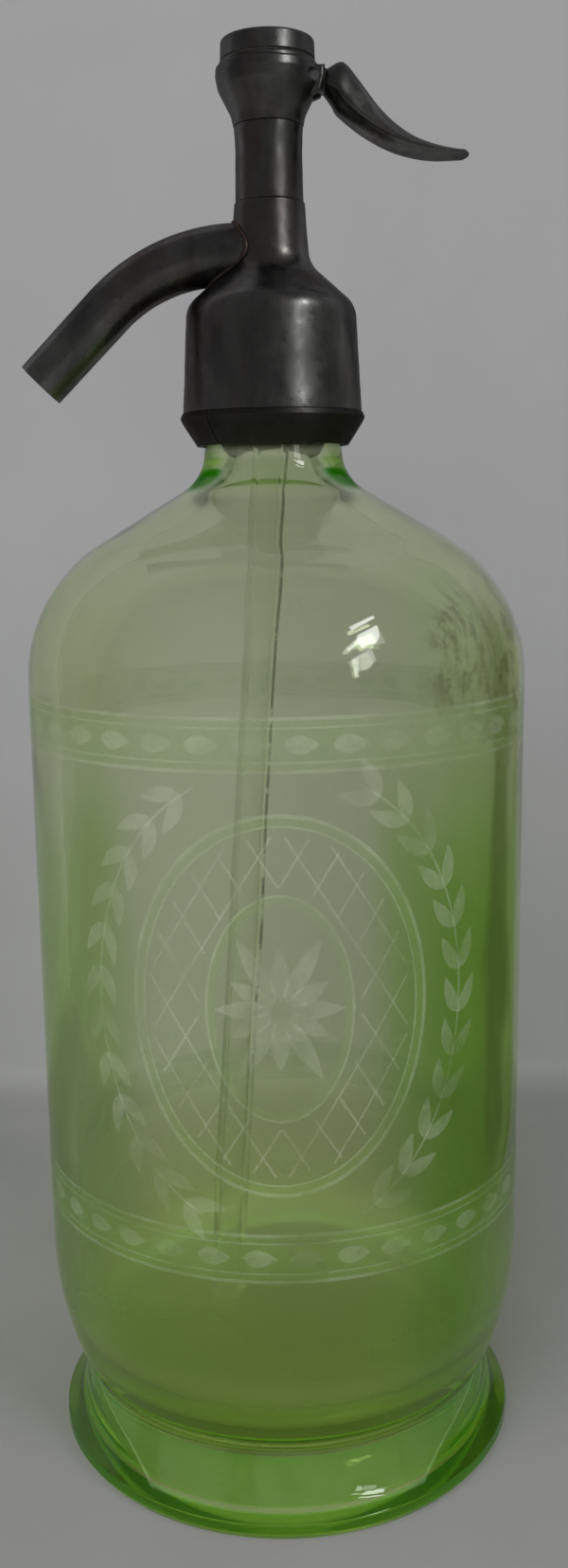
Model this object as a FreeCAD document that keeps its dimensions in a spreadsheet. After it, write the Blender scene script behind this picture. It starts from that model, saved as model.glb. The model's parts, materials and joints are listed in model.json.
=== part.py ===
import FreeCAD, Part
import math
import os
import re

import Sketcher

# Soda siphon: a green glass bottle with a cast metal head, a dip tube, a spring-loaded valve and
# a thumb lever. Millimetres. The origin is the centre of the resting face of the foot, +Z runs up
# the bottle's axis, the spout points to -X and the lever to +X.

SIZES = {
    # bottle, outside
    "body_radius": 52.5,
    "shoulder_corner_height": 188.5,
    "shoulder_angle": 30.8,
    "shoulder_round": 33,
    "neck_round": 12,
    "neck_radius": 14.3,
    "neck_length": 20.2,
    "groove_depth": 1,
    "groove_height": 4.7,
    "lip_overhang": 0.9,
    "lip_height": 5,
    "lip_round": 1.6,
    "heel_start_height": 34,
    "heel_inset": 4.9,
    "heel_height": 20.4,
    "heel_curve_share": 0.846,
    "heel_edge_round": 1.4,
    "waist_inset": 2.4,
    "waist_top_height": 18.9,
    "cove_height": 7.6,
    "cove_spread": 1.1,
    "cove_round": 8,
    "foot_spread": 5.9,
    "foot_edge_height": 3.6,
    "foot_edge_depth": 2,
    "foot_edge_inset": 0.2,
    "foot_edge_round": 0.6,
    "foot_side_round": 0.8,
    "foot_toe": 1,
    "rest_round": 0.8,
    # bottle, inside
    "body_wall": 6,
    "neck_bore_radius": 7.4,
    "mouth_round": 1,
    "floor_height": 20,
    "floor_rise": 2,
    "floor_round": 13,
    "punt_wall": 3.7,
    "punt_chamfer_width": 1.5,
    "punt_chamfer_height": 1.2,
    "punt_taper": 3,
    "punt_height": 13,
    "punt_rise": 4,
    "punt_round": 7,
    # collar
    "collar_flange_height": 6.5,
    "collar_overhang": 0.4,
    "collar_edge_drop": 1,
    "collar_edge_round": 0.5,
    "collar_swell_inset": 0.6,
    "collar_swell_drop": 2.2,
    "collar_swell_round": 1.5,
    "collar_ledge": 0.2,
    "collar_foot_wall": 1.15,
    "collar_thread_wall": 1.05,
    "collar_thread_length": 5.6,
    "collar_clearance": 0.25,
    "collar_split_angle": 47,
    "collar_gap_angle": 0.8,
    # mouth of the bottle
    "mouth_gasket_thickness": 1.7,
    "ferrule_flange_thickness": 1,
    "ferrule_depth": 10.5,
    "ferrule_wall": 1,
    "ferrule_clearance": 0.4,
    "ferrule_round": 0.6,
    "ferrule_hole_radius": 5.2,
    # dip tube
    "tube_radius": 3.7,
    "tube_bore_radius": 2.3,
    "tube_lean": 4.1,
    "tube_top_gap": 1,
    "tube_floor_gap": 6,
    # bell
    "bell_depth": 10.3,
    "bell_wall_height": 10.8,
    "bell_foot_wall": 1.95,
    "bell_draft": 1.2,
    "bell_round": 5,
    "bell_shoulder_angle": 41.5,
    "column_foot_radius": 8,
    "column_foot_round": 6,
    "column_foot_length": 11.7,
    "column_seam_radius": 7.15,
    "seam_round": 0.25,
    # valve
    "thread_clearance": 0.05,
    "seat_pocket_radius": 5.2,
    "seat_length": 6,
    "seat_nose_length": 3,
    "seat_nose_radius": 2.9,
    "seat_bore_radius": 1.7,
    "seat_round": 0.4,
    "seat_sink": 0.3,
    "seat_chamfer_width": 0.5,
    "seat_chamfer_height": 0.9,
    "seat_flare": 0.4,
    "seat_flare_depth": 0.7,
    "seat_washer_thickness": 0.5,
    "chamber_radius": 4.4,
    "valve_gap": 0.05,
    "valve_rubber_radius": 2.9,
    "valve_rubber_height": 3,
    "valve_rubber_reach": 0.8,
    "valve_round": 0.3,
    "valve_holder_chamfer": 1,
    "valve_holder_radius": 3.6,
    "valve_holder_height": 5,
    # plunger
    "rod_radius": 1.6,
    "rod_thread_length": 1.4,
    "rod_yoke_depth": 1.6,
    "piston_radius": 4.2,
    "piston_thickness": 1.2,
    "packing_radius": 4.32,
    "packing_height": 3.2,
    "packing_port_gap": 1.6,
    "packing_round": 0.4,
    "packing_nut_radius": 3.3,
    "packing_nut_height": 1.4,
    "spring_radius": 3.2,
    "spring_wire_radius": 0.4,
    "spring_turns": 6,
    "spring_end_gap": 0.05,
    # column
    "sleeve_length": 14.5,
    "sleeve_radius": 6.9,
    "sleeve_top_radius": 6.95,
    "sleeve_waist_radius": 6.7,
    "sleeve_waist_round": 20,
    "sleeve_waist_drop": 4.6,
    "sleeve_spigot_length": 3,
    "sleeve_spigot_radius": 5.6,
    "bush_radius": 5.2,
    "bush_depth": 3,
    "bush_rise": 2.6,
    "bush_running_clearance": 0.06,
    # lever housing
    "housing_height": 11.8,
    "housing_foot_radius": 7.05,
    "housing_neck_radius": 7.45,
    "housing_neck_height": 2,
    "housing_neck_round": 5,
    "bulge_radius": 10.45,
    "bulge_low_radius": 10,
    "bulge_low_height": 6.8,
    "bulge_low_round": 4,
    "bulge_mid_height": 9.2,
    "bulge_round": 1.4,
    "bulge_top_radius": 10.35,
    "bulge_top_height": 10.9,
    "bulge_top_round": 0.7,
    "rim_radius": 9.65,
    "rim_length": 0.7,
    "rim_round": 0.2,
    "cavity_radius": 6.8,
    "cap_thread_radius": 8.05,
    "cap_thread_length": 1.3,
    "cap_thread_wall": 1.3,
    "boss_reach": 11.3,
    "boss_low_reach": 10.6,
    "boss_half_width": 3.8,
    "boss_rise": 2.2,
    "boss_drop": 2.5,
    "boss_root_drop": 4,
    "boss_round": 0.8,
    "slot_half_width": 1.8,
    "slot_rise": 2.4,
    "slot_drop": 3.6,
    # cap
    "cap_washer_thickness": 0.4,
    "cap_washer_inset": 0.2,
    "cap_radius": 9.45,
    "cap_top_radius": 9.3,
    "cap_height": 4,
    "cap_crown": 0.25,
    "cap_round": 0.7,
    "cap_foot_round": 0.2,
    "cap_roof": 2,
    # spout
    "spout_rise": 1.95,
    "spout_corner_reach": 22.8,
    "spout_bend_radius": 36,
    "spout_angle": 45,
    "spout_length": 35.2,
    "spout_root_radius": 6.15,
    "spout_radius": 5.3,
    "spout_mouth_radius": 5.2,
    "spout_bore_radius": 3.9,
    "spout_port_step": 0.4,
    "spout_spigot_radius": 4.7,
    "spout_spigot_depth": 5,
    # lever
    "pivot_reach": 9,
    "pivot_depth": 3.3,
    "pin_radius": 1.1,
    "pin_half_length": 4.1,
    "pin_running_clearance": 0.05,
    "nose_drop": 1.3,
    "nose_radius": 1.5,
    "tongue_half_width": 1.5,
    "eye_radius": 2,
    "arm_half_depth": 1.4,
    "arm_end_half_depth": 0.6,
    "yoke_radius": 3.6,
    "yoke_top_wall": 1.2,
    "yoke_foot": 2,
    "yoke_foot_round": 0.5,
    "yoke_top_round": 0.8,
    "yoke_side_clearance": 0.15,
    "yoke_play": 0.1,
    "lever_root_reach": 4.8,
    "lever_drop": 13.25,
    "lever_length": 26.3,
    "lever_fall": 12.25,
    "lever_curl": 2.8,
    "lever_root_lean": 0.22,
    "lever_root_share": 0.12,
    "lever_root_depth": 7.4,
    "lever_tip_depth": 1.25,
    "lever_taper": 1.65,
    "lever_full_width_share": 0.62,
    "lever_root_width": 8,
    "lever_blade_width": 11.5,
    "lever_tip_width": 6.5,
    "lever_edge_drop": 0.12,
    "lever_crest_share": 0.4,
    "lever_flank_share": 0.8,
    "lever_flank_drop": 0.55,
    "lever_end_share": 0.45,
    "lever_stub_reach": 2.1,
    "lever_stub_rise": 0.35,
    "lever_stub_lean": 5,
    "lever_stub_half_depth": 2.44,
    "lever_stub_half_width": 3.36,
    "neck_half_depth": 1.9,
}

# Sizes that follow from the sheet. Heights are measured from the resting face.
WORKED_OUT = {
    "neck_corner_height": "shoulder_corner_height + (body_radius - neck_radius) * tan(shoulder_angle)",
    "mouth_height": "neck_corner_height + neck_length",
    "lip_underside": "mouth_height - lip_height",
    "lip_radius": "neck_radius + lip_overhang",
    "groove_radius": "neck_radius - groove_depth",
    "groove_top": "lip_underside - (lip_radius - groove_radius)",
    "groove_bottom": "groove_top - groove_height",
    "neck_top": "groove_bottom - (neck_radius - groove_radius)",
    "heel_radius": "body_radius - heel_inset",
    "heel_rise": "heel_start_height - heel_height",
    "heel_length": "sqrt(heel_inset ^ 2 + heel_rise ^ 2)",
    "heel_round": "heel_curve_share * heel_length * heel_inset / (heel_length - heel_rise)",
    "waist_radius": "heel_radius - waist_inset",
    "foot_radius": "waist_radius + foot_spread",
    "punt_radius": "waist_radius - punt_wall",
    "inner_radius": "body_radius - body_wall",
    "inner_drop": "body_wall / cos(shoulder_angle)",
    "inner_shoulder_height": "shoulder_corner_height + body_wall * tan(shoulder_angle) - inner_drop",
    "inner_neck_height":
        "neck_corner_height + (neck_radius - neck_bore_radius) * tan(shoulder_angle) - inner_drop",
    "gasket_top": "mouth_height + mouth_gasket_thickness",
    "ceiling": "gasket_top + ferrule_flange_thickness",
    "ferrule_radius": "neck_bore_radius - ferrule_clearance",
    "ferrule_bottom": "mouth_height - ferrule_depth",
    "ferrule_floor": "ferrule_bottom + ferrule_wall",
    "sleeve_bore": "ferrule_radius - ferrule_wall",
    "washer_radius": "lip_radius + collar_clearance",
    "tube_bottom": "floor_height + floor_rise + tube_floor_gap",
    "tube_run": "ceiling - tube_top_gap - tube_bottom",
    "bell_bottom": "ceiling - bell_depth",
    "collar_foot_radius": "neck_radius + collar_clearance + collar_foot_wall",
    "collar_thread_radius": "lip_radius + collar_clearance + collar_thread_wall",
    "bell_bore_radius": "collar_thread_radius + thread_clearance",
    "bell_foot_radius": "bell_bore_radius + bell_foot_wall",
    "bell_top_radius": "bell_foot_radius - bell_draft",
    "collar_top_radius": "bell_foot_radius + collar_ledge",
    "collar_radius": "collar_top_radius + collar_overhang",
    "bell_corner_height": "ceiling + bell_wall_height",
    "column_corner_height":
        "bell_corner_height + (bell_top_radius - column_foot_radius) * tan(bell_shoulder_angle)",
    "first_seam": "column_corner_height + column_foot_length",
    "second_seam": "first_seam + sleeve_length",
    "housing_top": "second_seam + housing_height",
    "bulge_top": "second_seam + bulge_top_height",
    "cap_bottom": "housing_top + cap_washer_thickness",
    "cap_top": "cap_bottom + cap_height",
    "seat_shoulder": "ceiling + seat_length",
    "seat_rim": "seat_shoulder + seat_nose_length",
    "seat_radius": "seat_pocket_radius - thread_clearance",
    "rubber_bottom": "seat_rim + valve_gap",
    "rubber_top": "rubber_bottom + valve_rubber_height",
    "holder_bottom": "rubber_bottom + valve_rubber_reach",
    "holder_top": "holder_bottom + valve_holder_height",
    "rod_bottom": "holder_top - rod_thread_length",
    "spout_height": "column_corner_height + spout_rise",
    "packing_bottom": "spout_height + spout_bore_radius + packing_port_gap",
    "piston_bottom": "packing_bottom + packing_height",
    "piston_top": "piston_bottom + piston_thickness",
    "spigot_bottom": "first_seam - sleeve_spigot_length",
    "bush_bottom": "second_seam - bush_depth",
    "bush_top": "second_seam + bush_rise",
    "pivot_height": "housing_top - pivot_depth",
    "nose_height": "pivot_height - nose_drop",
    "yoke_slot_half_height": "nose_radius + yoke_play",
    "yoke_slot_half_width": "tongue_half_width + yoke_side_clearance",
    "yoke_top": "nose_height + yoke_slot_half_height + yoke_top_wall",
    "yoke_bottom": "nose_height - yoke_slot_half_height - yoke_foot",
    "rod_top": "yoke_bottom + rod_yoke_depth",
    "cap_thread_bottom": "housing_top - cap_thread_length",
    "cap_thread_outside": "cap_thread_radius - thread_clearance",
    "cap_thread_inside": "cap_thread_outside - cap_thread_wall",
    "lever_root_x": "pivot_reach + lever_root_reach",
    "lever_tip_height": "pivot_height - lever_drop",
}

doc = FreeCAD.newDocument("soda_siphon")
sheet = doc.addObject("Spreadsheet::Sheet", "Sizes")
for row, (name, number) in enumerate(SIZES.items(), start=1):
    sheet.set(f"A{row}", name)
    sheet.set(f"B{row}", str(number))
    sheet.setAlias(f"B{row}", name)
doc.recompute()

WORD = re.compile(r"[a-z]\w*")


def formula(text):
    """The text as a FreeCAD expression on the sheet's cells."""
    def one(found):
        word = found[0]
        if word in WORKED_OUT:
            return "(" + formula(WORKED_OUT[word]) + ")"
        return "Sizes." + word if word in SIZES else word
    return WORD.sub(one, str(text))


def value(text):
    """The number that a formula gives now."""
    return float(sheet.evalExpression(formula(text)))


def bind(item, **settings):
    """Ties properties of an object to formulas."""
    for name, text in settings.items():
        item.setExpression(name.replace("__", "."), formula(text))
    return item


def vector(x, y=0.0, z=0.0):
    return FreeCAD.Vector(x, y, z)


# ---------------------------------------------------------------- operations


def corner_arc(before, corner, after, radius):
    """The arc that rounds a corner: its centre and the points where it meets the two sides."""
    back = (before - corner).normalize()
    ahead = (after - corner).normalize()
    half = back.getAngle(ahead) / 2
    reach = radius / math.tan(half)
    centre = corner + (back + ahead).normalize() * (radius / math.sin(half))
    return centre, corner + back * reach, corner + ahead * reach


def profile_sketch(body, corners):
    """A closed sketch on the XZ plane. Each corner is (radius, height) or (radius, height, rounding)."""
    sketch = body.newObject("Sketcher::SketchObject", body.Name + "_profile")
    plane = [item for item in body.Origin.OriginFeatures if item.Role == "XZ_Plane"][0]
    sketch.AttachmentSupport = [(plane, "")]
    sketch.MapMode = "FlatFace"
    count = len(corners)
    points = [vector(value(corner[0]), value(corner[1])) for corner in corners]
    arcs = {}
    for index, corner in enumerate(corners):
        if len(corner) == 3:
            after = points[(index + 1) % count]
            arcs[index] = corner_arc(points[index - 1], points[index], after, value(corner[2]))
    for index in range(count):
        after = (index + 1) % count
        start = arcs[index][2] if index in arcs else points[index]
        end = arcs[after][1] if after in arcs else points[after]
        sketch.addGeometry(Part.LineSegment(start, end), False)

    def place(geometry, index):
        for direction, text in (("X", corners[index][0]), ("Y", corners[index][1])):
            kind = "Distance" + direction
            number = points[index].x if direction == "X" else points[index].y
            made = sketch.addConstraint(Sketcher.Constraint(kind, -1, 1, geometry, 1, number))
            sketch.renameConstraint(made, f"corner_{index}_{direction.lower()}")
            sketch.setExpression(f"Constraints.corner_{index}_{direction.lower()}", formula(text))

    for index in range(count):
        before = (index - 1) % count
        if index not in arcs:
            sketch.addConstraint(Sketcher.Constraint("Coincident", before, 2, index, 1))
            place(index, index)
            continue
        centre, entry, leaving = arcs[index]
        turn = (entry - centre).cross(leaving - centre).z
        first, last = (entry, leaving) if turn > 0 else (leaving, entry)
        start_angle = math.atan2(first.y - centre.y, first.x - centre.x)
        end_angle = math.atan2(last.y - centre.y, last.x - centre.x)
        if end_angle < start_angle:
            end_angle += 2 * math.pi
        circle = Part.Circle(centre, vector(0, 0, 1), (entry - centre).Length)
        arc = sketch.addGeometry(Part.ArcOfCircle(circle, start_angle, end_angle), False)
        entry_end, leaving_end = (1, 2) if turn > 0 else (2, 1)
        sketch.addConstraint(Sketcher.Constraint("Tangent", before, 2, arc, entry_end))
        sketch.addConstraint(Sketcher.Constraint("Tangent", arc, leaving_end, index, 1))
        made = sketch.addConstraint(Sketcher.Constraint("Radius", arc, (entry - centre).Length))
        sketch.renameConstraint(made, f"round_{index}")
        sketch.setExpression(f"Constraints.round_{index}", formula(corners[index][2]))
        apex = sketch.addGeometry(Part.Point(points[index]), True)
        sketch.addConstraint(Sketcher.Constraint("PointOnObject", apex, 1, before))
        sketch.addConstraint(Sketcher.Constraint("PointOnObject", apex, 1, index))
        place(apex, index)
    return sketch


def turned(name, corners, sweep="360"):
    """A PartDesign body turned about the bottle's axis from a profile."""
    body = doc.addObject("PartDesign::Body", name)
    sketch = profile_sketch(body, corners)
    turn = body.newObject("PartDesign::Revolution", name + "_turn")
    turn.Profile = sketch
    turn.ReferenceAxis = (sketch, ["V_Axis"])
    bind(turn, Angle=sweep)
    return body


def ring(name, inner, outer, bottom, top):
    """A plain turned ring."""
    return turned(name, [(inner, bottom), (outer, bottom), (outer, top), (inner, top)])


def rod(name, radius, length, x="0", y="0", z="0", along="Z"):
    """A Part cylinder that starts at x, y, z and runs along an axis."""
    cylinder = doc.addObject("Part::Cylinder", name)
    turns = {"Z": (vector(0, 0, 1), 0), "-X": (vector(0, 1, 0), -90), "Y": (vector(1, 0, 0), -90)}
    axis, angle = turns[along]
    cylinder.Placement = FreeCAD.Placement(vector(0), FreeCAD.Rotation(axis, angle))
    bind(cylinder, Radius=radius, Height=length)
    return bind(cylinder, Placement__Base__x=x, Placement__Base__y=y, Placement__Base__z=z)


def cut(name, base, tool):
    result = doc.addObject("Part::Cut", name)
    result.Base = base
    result.Tool = tool
    return result


def fused(name, first, second):
    result = doc.addObject("Part::Fuse", name)
    result.Base = first
    result.Tool = second
    result.Refine = True
    return result


def feature(name, shape):
    result = doc.addObject("Part::Feature", name)
    result.Shape = shape
    return result


def side_plate(outline, half_width):
    """A plate cut to an outline of (x, z) points, centred on the XZ plane."""
    points = [vector(x, -half_width, z) for x, z in outline]
    face = Part.Face(Part.makePolygon(points + points[:1]))
    return face.extrude(vector(0, 2 * half_width, 0))


NODES = {}


def node(item, name=None):
    """Keeps an object as a sub-part, under its own name."""
    item.Label = name or item.Name
    NODES[item.Label] = item
    return item


# ---------------------------------------------------------------- bottle


def build_bottle():
    bottle = turned("glass_bottle", [
        ("0", "punt_height + punt_rise"),
        ("punt_radius - punt_taper", "punt_height", "punt_round"),
        ("punt_radius", "punt_chamfer_height"),
        ("punt_radius + punt_chamfer_width", "0", "rest_round"),
        ("foot_radius - foot_toe", "0", "rest_round"),
        ("foot_radius", "foot_edge_height - foot_edge_depth", "foot_side_round"),
        ("foot_radius - foot_edge_inset", "foot_edge_height", "foot_edge_round"),
        ("waist_radius + cove_spread", "cove_height", "cove_round"),
        ("waist_radius", "waist_top_height"),
        ("heel_radius", "heel_height", "heel_edge_round"),
        ("body_radius", "heel_start_height", "heel_round"),
        ("body_radius", "shoulder_corner_height", "shoulder_round"),
        ("neck_radius", "neck_corner_height", "neck_round"),
        ("neck_radius", "neck_top"),
        ("groove_radius", "groove_bottom"),
        ("groove_radius", "groove_top"),
        ("lip_radius", "lip_underside"),
        ("lip_radius", "mouth_height", "lip_round"),
        ("neck_bore_radius", "mouth_height", "mouth_round"),
        ("neck_bore_radius", "inner_neck_height", "neck_round + body_wall"),
        ("inner_radius", "inner_shoulder_height", "shoulder_round - body_wall"),
        ("inner_radius", "floor_height", "floor_round"),
        ("0", "floor_height + floor_rise"),
    ])
    node(bottle)


# ---------------------------------------------------------------- collar and mouth


def build_collar():
    corners = [
        ("neck_radius + collar_clearance", "bell_bottom - collar_flange_height"),
        ("collar_foot_radius", "bell_bottom - collar_flange_height"),
        ("collar_radius - collar_swell_inset", "bell_bottom - collar_swell_drop", "collar_swell_round"),
        ("collar_radius", "bell_bottom - collar_edge_drop", "collar_edge_round"),
        ("collar_top_radius", "bell_bottom"),
        ("collar_thread_radius", "bell_bottom"),
        ("collar_thread_radius", "bell_bottom + collar_thread_length"),
        ("lip_radius + collar_clearance", "bell_bottom + collar_thread_length"),
        ("lip_radius + collar_clearance", "lip_underside - collar_clearance / 2"),
        ("groove_radius + collar_clearance", "groove_top - collar_clearance / 2"),
        ("groove_radius + collar_clearance", "groove_bottom + collar_clearance / 2"),
        ("neck_radius + collar_clearance", "neck_top + collar_clearance / 2"),
    ]
    starts = {"collar_half_front": "collar_split_angle - 180", "collar_half_rear": "collar_split_angle"}
    for name, start in starts.items():
        half = turned(name, corners, sweep="180 - collar_gap_angle")
        half.Placement = FreeCAD.Placement(vector(0), FreeCAD.Rotation(vector(0, 0, 1), 1))
        node(bind(half, Placement__Rotation__Angle=start))


def build_mouth():
    node(ring("mouth_gasket", "ferrule_radius", "washer_radius", "mouth_height", "gasket_top"))
    node(turned("tube_ferrule", [
        ("ferrule_hole_radius", "ferrule_bottom"),
        ("ferrule_radius", "ferrule_bottom", "ferrule_round"),
        ("ferrule_radius", "gasket_top"),
        ("washer_radius", "gasket_top"),
        ("washer_radius", "ceiling"),
        ("sleeve_bore", "ceiling"),
        ("sleeve_bore", "ferrule_floor"),
        ("ferrule_hole_radius", "ferrule_floor"),
    ]))


def leaning(cylinder):
    """Tilts a cylinder about the point where the tube enters the ferrule's floor."""
    cylinder.Placement = FreeCAD.Placement(vector(0), FreeCAD.Rotation(vector(0, 1, 0), 1))
    below = "(ferrule_floor - tube_bottom)"
    bind(cylinder, Placement__Rotation__Angle="tube_lean")
    bind(cylinder, Placement__Base__x=f"-{below} * tan(tube_lean)", Placement__Base__z="tube_bottom")
    return cylinder


def build_tube():
    length = "tube_run / cos(tube_lean)"
    outside = leaning(rod("dip_tube_outside", "tube_radius", length))
    bore = leaning(rod("dip_tube_bore", "tube_bore_radius", length))
    node(cut("dip_tube", outside, bore))
    block = turned("tube_gasket_block", [
        ("0", "ferrule_floor"),
        ("sleeve_bore", "ferrule_floor"),
        ("sleeve_bore", "ceiling"),
        ("0", "ceiling"),
    ])
    hole = leaning(rod("tube_gasket_hole", "tube_radius", "(tube_run + ferrule_depth) / cos(tube_lean)"))
    node(cut("tube_gasket", block, hole))


# ---------------------------------------------------------------- bell and spout

BELL_OUTSIDE = [
    ("bell_foot_radius", "bell_bottom"),
    ("bell_top_radius", "bell_corner_height", "bell_round"),
    ("column_foot_radius", "column_corner_height", "column_foot_round"),
    ("column_seam_radius", "first_seam", "seam_round"),
]


def build_bell():
    turned_bell = turned("bell_housing_turned", [("bell_bore_radius", "bell_bottom")] + BELL_OUTSIDE + [
        ("sleeve_spigot_radius + thread_clearance", "first_seam"),
        ("sleeve_spigot_radius + thread_clearance", "spigot_bottom"),
        ("chamber_radius", "spigot_bottom"),
        ("chamber_radius", "seat_shoulder"),
        ("seat_pocket_radius", "seat_shoulder"),
        ("seat_pocket_radius", "ceiling"),
        ("bell_bore_radius", "ceiling"),
    ])
    spigot_hole = rod("spout_spigot_hole", "spout_spigot_radius + thread_clearance", "column_foot_radius * 3",
                      x="-spout_spigot_depth", z="spout_height", along="-X")
    port_radius = "spout_bore_radius - spout_port_step"
    port = rod("spout_port", port_radius, "column_foot_radius * 2", z="spout_height", along="-X")
    node(cut("bell_housing", cut("bell_housing_drilled", turned_bell, spigot_hole), port), "bell_housing")
    washer_bottom = "seat_shoulder - seat_washer_thickness"
    node(ring("seat_washer", "seat_nose_radius", "seat_radius", washer_bottom, "seat_shoulder"))
    node(turned("valve_seat", [
        ("seat_bore_radius", "ceiling + seat_sink"),
        ("seat_radius", "ceiling + seat_sink", "seat_round"),
        ("seat_radius", washer_bottom),
        ("seat_nose_radius", washer_bottom),
        ("seat_nose_radius", "seat_rim - seat_chamfer_height"),
        ("seat_nose_radius - seat_chamfer_width", "seat_rim"),
        ("seat_bore_radius + seat_flare", "seat_rim"),
        ("seat_bore_radius", "seat_rim - seat_flare_depth"),
    ]))


def circle_wire(centre, direction, radius):
    return Part.Wire(Part.makeCircle(radius, centre, direction))


def build_spout():
    """A bent tube: level at its root, then an arc down to the slope of its straight end."""
    angle = math.radians(value("spout_angle"))
    bend = value("spout_bend_radius")
    height = value("spout_height")
    reach = value("spout_corner_reach")
    tangent = bend * math.tan(angle / 2)
    start = vector(0, 0, height)
    arc_start = vector(tangent - reach, 0, height)
    corner = vector(-reach, 0, height)
    down = vector(-math.cos(angle), 0, -math.sin(angle))
    arc_end = corner + down * tangent
    mouth = corner + down * value("spout_length")
    centre = arc_start - vector(0, 0, bend)
    middle = centre + vector(-math.sin(angle / 2), 0, math.cos(angle / 2)) * bend
    path = Part.Wire([
        Part.makeLine(start, arc_start),
        Part.Arc(arc_start, middle, arc_end).toShape(),
        Part.makeLine(arc_end, mouth),
    ])
    # The outside narrows along the arc and hardly at all after it.
    steps = 6
    root = value("spout_root_radius")
    slim = value("spout_radius")
    stations = [circle_wire(start, vector(-1), root)]
    for step in range(steps + 1):
        share = step / steps
        turn = angle * share
        point = centre + vector(-math.sin(turn), 0, math.cos(turn)) * bend
        radius = root + (slim - root) * math.sin(share * math.pi / 2)
        stations.append(circle_wire(point, vector(-math.cos(turn), 0, -math.sin(turn)), radius))
    bent = Part.makeLoft(stations, True)
    straight = Part.makeCone(slim, value("spout_mouth_radius"), (mouth - arc_end).Length, arc_end, down)
    outside = bent.fuse(straight)
    bell = turned("spout_seat_form", [("0", "bell_bottom")] + BELL_OUTSIDE + [("0", "first_seam")])
    doc.recompute()
    outside = outside.cut(bell.Shape)
    spigot_start = vector(-value("spout_spigot_depth"), 0, height)
    spigot_length = value("column_foot_radius - spout_spigot_depth") + 1
    spigot = Part.makeCylinder(value("spout_spigot_radius"), spigot_length, spigot_start, vector(-1))
    bore_section = circle_wire(start, vector(-1), value("spout_bore_radius"))
    bore = path.makePipeShell([bore_section], True, False)
    node(feature("spout", outside.fuse(spigot).cut(bore).removeSplitter()))


# ---------------------------------------------------------------- column, lever housing and cap


def build_column():
    node(turned("column_sleeve", [
        ("chamber_radius", "spigot_bottom"),
        ("sleeve_spigot_radius", "spigot_bottom"),
        ("sleeve_spigot_radius", "first_seam"),
        ("sleeve_radius", "first_seam", "seam_round"),
        ("sleeve_waist_radius", "second_seam - sleeve_waist_drop", "sleeve_waist_round"),
        ("sleeve_top_radius", "second_seam", "seam_round"),
        ("bush_radius + thread_clearance", "second_seam"),
        ("bush_radius + thread_clearance", "bush_bottom"),
        ("chamber_radius", "bush_bottom"),
    ]))
    node(ring("spring_bush", "rod_radius + bush_running_clearance", "bush_radius", "bush_bottom", "bush_top"))


def build_lever_housing():
    outside = turned("lever_housing_outside", [
        ("0", "second_seam"),
        ("housing_foot_radius", "second_seam", "seam_round"),
        ("housing_neck_radius", "second_seam + housing_neck_height", "housing_neck_round"),
        ("bulge_low_radius", "second_seam + bulge_low_height", "bulge_low_round"),
        ("bulge_radius", "second_seam + bulge_mid_height", "bulge_round"),
        ("bulge_top_radius", "bulge_top", "bulge_top_round"),
        ("rim_radius", "housing_top - rim_length"),
        ("rim_radius", "housing_top", "rim_round"),
        ("0", "housing_top"),
    ])
    height = value("pivot_height")
    inner = value("cavity_radius")
    boss_outline = [
        (inner, height + value("boss_rise")),
        (value("boss_reach"), height + value("boss_rise")),
        (value("boss_reach"), height),
        (value("boss_low_reach"), height - value("boss_drop")),
        (inner, height - value("boss_root_drop")),
    ]
    boss_plate = side_plate(boss_outline, value("boss_half_width"))
    corner_edges = [edge for edge in boss_plate.Edges
                    if edge.CenterOfMass.x > inner + value("boss_round")
                    and abs(edge.CenterOfMass.y) > value("slot_half_width")]
    boss = feature("lever_boss", boss_plate.makeFillet(value("boss_round"), corner_edges))
    hollow = turned("lever_housing_hollow", [
        ("0", "second_seam"),
        ("bush_radius + thread_clearance", "second_seam"),
        ("bush_radius + thread_clearance", "bush_top"),
        ("cavity_radius", "bush_top + cavity_radius - bush_radius"),
        ("cavity_radius", "cap_thread_bottom"),
        ("cap_thread_radius", "cap_thread_bottom"),
        ("cap_thread_radius", "housing_top"),
        ("0", "housing_top"),
    ])
    slot = doc.addObject("Part::Box", "lever_slot")
    bind(slot, Length="boss_reach * 2", Width="slot_half_width * 2", Height="slot_rise + slot_drop",
         Placement__Base__y="-slot_half_width", Placement__Base__z="pivot_height - slot_drop")
    hole = rod("lever_pin_hole", "pin_radius", "bulge_radius * 2", x="pivot_reach", y="-bulge_radius",
               z="pivot_height", along="Y")
    body = cut("lever_housing_shell", fused("lever_housing_cast", outside, boss), hollow)
    node(cut("lever_housing", cut("lever_housing_slotted", body, slot), hole))
    node(rod("lever_pin", "pin_radius", "pin_half_length * 2", x="pivot_reach", y="-pin_half_length",
             z="pivot_height", along="Y"))


def build_cap():
    washer_edge = "cap_radius - cap_washer_inset"
    node(ring("cap_washer", "cap_thread_outside", washer_edge, "housing_top", "cap_bottom"))
    node(turned("top_cap", [
        ("0", "cap_top - cap_roof"),
        ("cap_thread_inside", "cap_top - cap_roof"),
        ("cap_thread_inside", "cap_thread_bottom"),
        ("cap_thread_outside", "cap_thread_bottom"),
        ("cap_thread_outside", "cap_bottom"),
        ("cap_radius", "cap_bottom", "cap_foot_round"),
        ("cap_top_radius", "cap_top - cap_crown", "cap_round"),
        ("0", "cap_top"),
    ]))


# ---------------------------------------------------------------- plunger


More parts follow.
